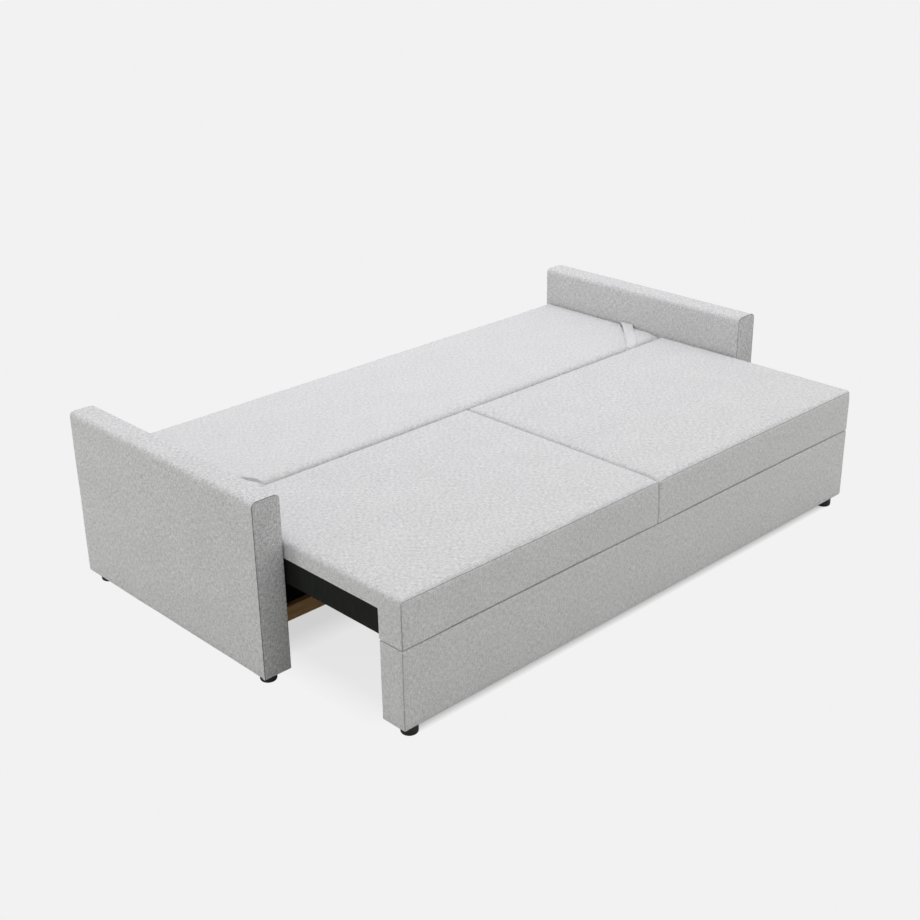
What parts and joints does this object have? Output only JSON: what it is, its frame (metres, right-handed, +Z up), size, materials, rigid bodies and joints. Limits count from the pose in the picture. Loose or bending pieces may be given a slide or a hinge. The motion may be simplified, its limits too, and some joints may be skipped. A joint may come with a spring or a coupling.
{
  "type": "sofa bed",
  "caption": "Sofa bed shown opened flat: seat drawn forward from between two slab arms, backrest folded down level behind it; the seat slides in and the backrest raises.",
  "frame": {"origin": "on the floor, at the middle of the opened bed's footprint", "axes": "+X along the sofa to its right arm as seen from the front, +Y from the seat's front to the back, +Z up"},
  "size_m": [2.18, 1.377, 0.556],
  "materials": {
    "arm_cloth": "woven light grey melange",
    "seat_cloth": "woven light grey melange",
    "back_cloth": "woven light grey melange",
    "strap_cloth": "woven light grey, folded and stitched",
    "elastic_web": "elastic webbing",
    "black_wood": "black stained, satin",
    "brown_wood": "brown stained, satin",
    "raw_wood": "planed, unfinished",
    "black_plastic": "moulded, matt",
    "grey_plastic": "moulded, matt",
    "zinc_steel": "zinc plated",
    "black_steel": "powder coated"
  },
  "bodies": {
    "base": {"arm_cover_left": "arm_cloth", "arm_cover_right": "arm_cloth", "arm_frame_left": "raw_wood", "arm_frame_right": "raw_wood", "arm_front_pad_left": "arm_cloth", "arm_front_pad_right": "arm_cloth", "arm_glide_front_left": "black_plastic", "arm_glide_front_right": "black_plastic", "arm_glide_rear_left": "black_plastic", "arm_glide_rear_right": "black_plastic", "floor_bearer": "raw_wood", "frame_bolts": "zinc_steel", "front_cross_rail": "brown_wood", "pivot_stud_left": "zinc_steel", "pivot_stud_right": "zinc_steel", "pivot_washers": "zinc_steel", "rear_cross_rail_lower": "raw_wood", "rear_cross_rail_upper": "raw_wood", "rear_panel": "arm_cloth", "runner_left": "raw_wood", "runner_right": "raw_wood", "well_floor": "black_wood"},
    "seat": {"back_rest_bracket_centre": "black_steel", "back_rest_bracket_left": "black_steel", "back_rest_bracket_right": "black_steel", "bracket_screws": "zinc_steel", "centre_rail": "raw_wood", "fascia_board": "raw_wood", "fascia_bottom_rail": "raw_wood", "fascia_cover": "seat_cloth", "fascia_glide_left": "black_plastic", "fascia_glide_right": "black_plastic", "front_post_centre": "raw_wood", "front_post_left": "raw_wood", "front_post_right": "raw_wood", "front_rail": "raw_wood", "roller_bolt_left": "zinc_steel", "roller_bolt_right": "zinc_steel", "seat_cushion_left": "seat_cloth", "seat_cushion_right": "seat_cloth", "side_rail_left": "black_wood", "side_rail_right": "black_wood", "slats_left": "raw_wood", "slats_right": "raw_wood", "rear_rail": "raw_wood"},
    "backrest": {"back_cover": "back_cloth", "back_front_rail": "raw_wood", "back_rear_rail": "raw_wood", "back_stile_centre": "raw_wood", "back_stile_left": "raw_wood", "back_stile_right": "raw_wood", "back_webbing": "elastic_web", "pivot_bush_left": "grey_plastic", "pivot_bush_right": "grey_plastic", "pull_strap_left": "strap_cloth", "pull_strap_right": "strap_cloth"},
    "roller_left": {"roller_left": "grey_plastic"},
    "roller_right": {"roller_right": "grey_plastic"}
  },
  "joints": [
    {"name": "seat_slide", "type": "slide", "parent": "base", "child": "seat", "axis": [0, 1, 0], "range_m": [0, 0.46]},
    {"name": "backrest_fold", "type": "hinge", "parent": "base", "child": "backrest", "pos_m": [0, 0.6305, 0.364], "axis": [-1, 0, 0], "range_deg": [0, 90]},
    {"name": "roller_left_spin", "type": "hinge", "parent": "seat", "child": "roller_left", "pos_m": [-0.9629, 0.0405, 0.2957], "axis": [-1, 0, 0], "range_deg": [0, 1200]},
    {"name": "roller_right_spin", "type": "hinge", "parent": "seat", "child": "roller_right", "pos_m": [0.9629, 0.0405, 0.2957], "axis": [-1, 0, 0], "range_deg": [0, 1200]}
  ],
  "couplings": [
    {"joint": "backrest_fold", "follows": "seat_slide", "rad_per_m": 3.4147},
    {"joint": "roller_left_spin", "follows": "seat_slide", "rad_per_m": 45.455},
    {"joint": "roller_right_spin", "follows": "seat_slide", "rad_per_m": 45.455}
  ]
}
